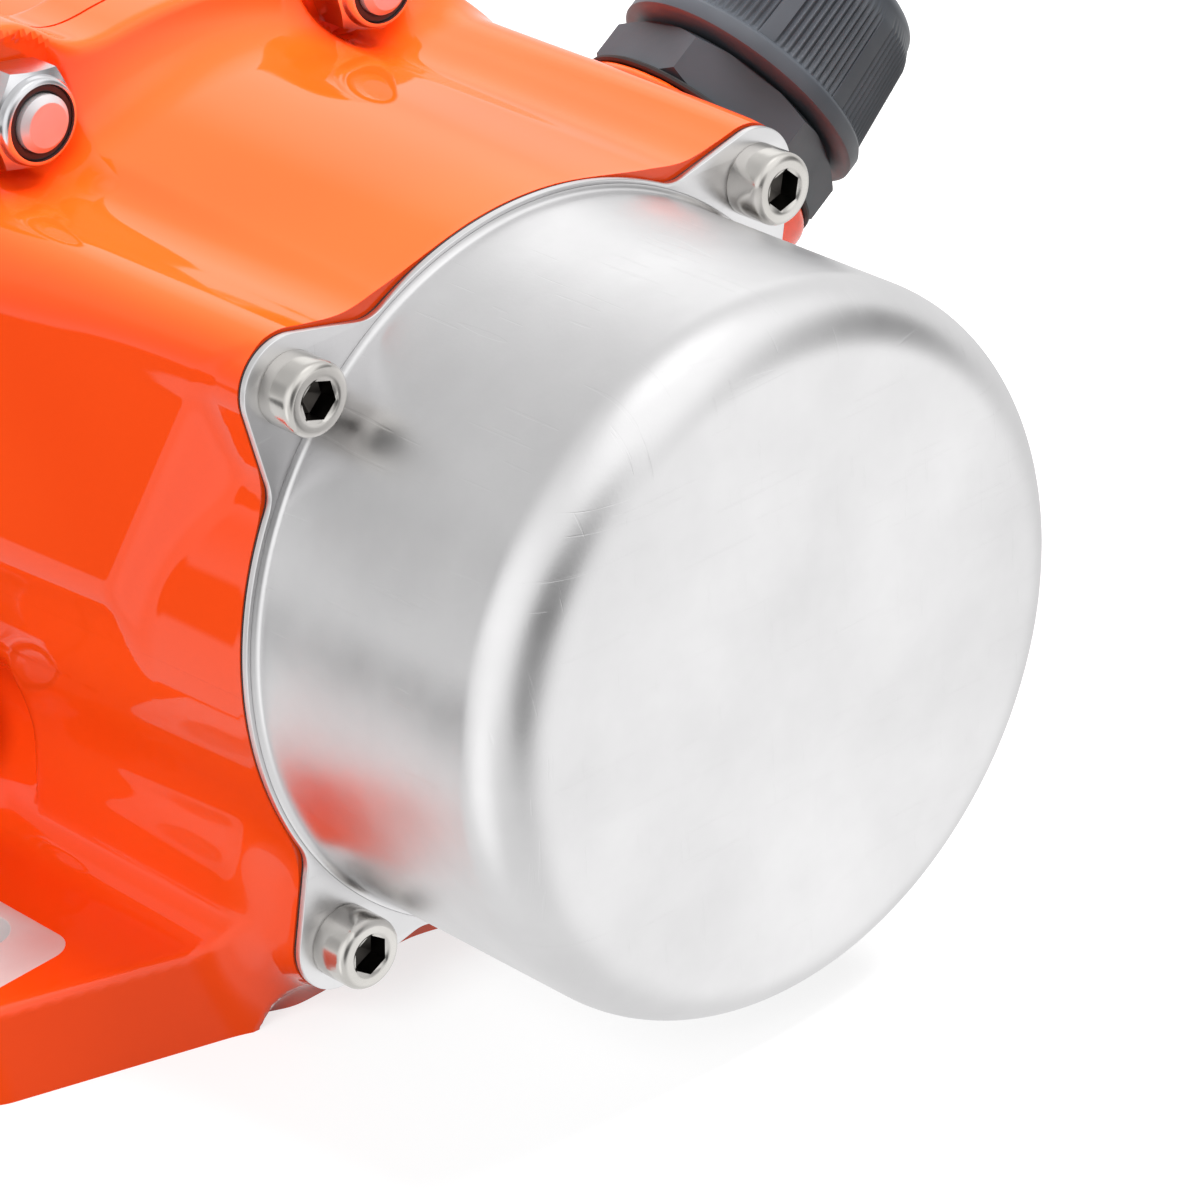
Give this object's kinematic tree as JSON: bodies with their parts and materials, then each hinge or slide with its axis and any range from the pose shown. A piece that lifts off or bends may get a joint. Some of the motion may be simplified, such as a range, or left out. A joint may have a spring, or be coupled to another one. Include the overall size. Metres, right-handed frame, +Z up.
{
  "type": "vibration motor",
  "caption": "Compact foot mounted vibration motor with a flanged two-part cast housing, drawn end caps over eccentric weights, ball bearings and a cable gland.",
  "frame": {"origin": "on the plane that the feet stand on, under the shaft, at the joint between the two housing halves", "axes": "+Y along the shaft, away from the end with the cable gland; +Z up from the feet; +X to the side that the gland is on"},
  "size_m": [0.1893, 0.245, 0.119],
  "materials": {
    "housing_paint": "gloss orange stoved enamel on die-cast aluminium, slight orange peel",
    "gasket_sheet": "black gasket sheet, matt",
    "cap_steel": "deep drawn stainless sheet, satin",
    "screw_steel": "stainless socket head screws, bright",
    "zinc_plate": "bright zinc plated steel",
    "insert_nylon": "dark nylon locking ring",
    "gland_nylon": "black moulded nylon, fine satin",
    "seal_rubber": "black nitrile rubber",
    "lamination": "stacked electrical steel, varnished",
    "winding_wire": "enamelled copper, varnished",
    "lead_cover": "silicone insulated lead",
    "splice_cover": "crimp sleeve, natural nylon",
    "ground_steel": "ground steel",
    "cast_aluminium": "cast aluminium",
    "bearing_steel": "polished bearing steel",
    "cage_nylon": "natural nylon cage",
    "spring_steel": "phosphated spring steel",
    "weight_steel": "zinc plated steel weights",
    "clamp_steel": "black oxide screw"
  },
  "bodies": {
    "housing": {"front_housing": "housing_paint", "rear_housing": "housing_paint", "housing_gasket": "gasket_sheet", "front_cap_gasket": "gasket_sheet", "rear_cap_gasket": "gasket_sheet", "front_end_cap": "cap_steel", "rear_end_cap": "cap_steel", "cap_screws": "screw_steel", "flange_bolts": "zinc_plate", "flange_nuts": "zinc_plate", "nut_inserts": "insert_nylon", "gland_body": "gland_nylon", "gland_dome_nut": "gland_nylon", "gland_seal": "seal_rubber", "gland_washer": "seal_rubber", "stator_core": "lamination", "stator_windings": "winding_wire", "motor_leads": "lead_cover", "lead_splices": "splice_cover", "bearing_outer_rings": "bearing_steel", "bearing_circlips": "spring_steel"},
    "rotor": {"shaft": "ground_steel", "rotor_core": "lamination", "rotor_end_rings": "cast_aluminium", "bearing_inner_rings": "bearing_steel", "spacer_sleeves": "ground_steel", "fixed_weights": "weight_steel", "weight_keys": "ground_steel", "shaft_washers": "spring_steel", "shaft_circlips": "spring_steel"},
    "front_weight": {"front_adjustable_weight": "weight_steel", "front_clamp_screw": "clamp_steel"},
    "rear_weight": {"rear_adjustable_weight": "weight_steel", "rear_clamp_screw": "clamp_steel"},
    "front_cage": {"front_bearing_balls": "bearing_steel", "front_bearing_cage": "cage_nylon"},
    "rear_cage": {"rear_bearing_balls": "bearing_steel", "rear_bearing_cage": "cage_nylon"}
  },
  "joints": [
    {"name": "rotor_spin", "type": "hinge", "parent": "housing", "child": "rotor", "pos_m": [0, 0, 0.053], "axis": [0, 1, 0], "continuous": true},
    {"name": "front_weight_set", "type": "hinge", "parent": "rotor", "child": "front_weight", "pos_m": [0, 0, 0.053], "axis": [0, 1, 0], "range_deg": [0, 180]},
    {"name": "rear_weight_set", "type": "hinge", "parent": "rotor", "child": "rear_weight", "pos_m": [0, 0, 0.053], "axis": [0, 1, 0], "range_deg": [0, 180]},
    {"name": "front_cage_spin", "type": "hinge", "parent": "housing", "child": "front_cage", "pos_m": [0, 0, 0.053], "axis": [0, 1, 0], "continuous": true},
    {"name": "rear_cage_spin", "type": "hinge", "parent": "housing", "child": "rear_cage", "pos_m": [0, 0, 0.053], "axis": [0, 1, 0], "continuous": true}
  ],
  "couplings": [
    {"joint": "front_cage_spin", "follows": "rotor_spin", "ratio": 0.38421},
    {"joint": "rear_cage_spin", "follows": "rotor_spin", "ratio": 0.38421}
  ]
}
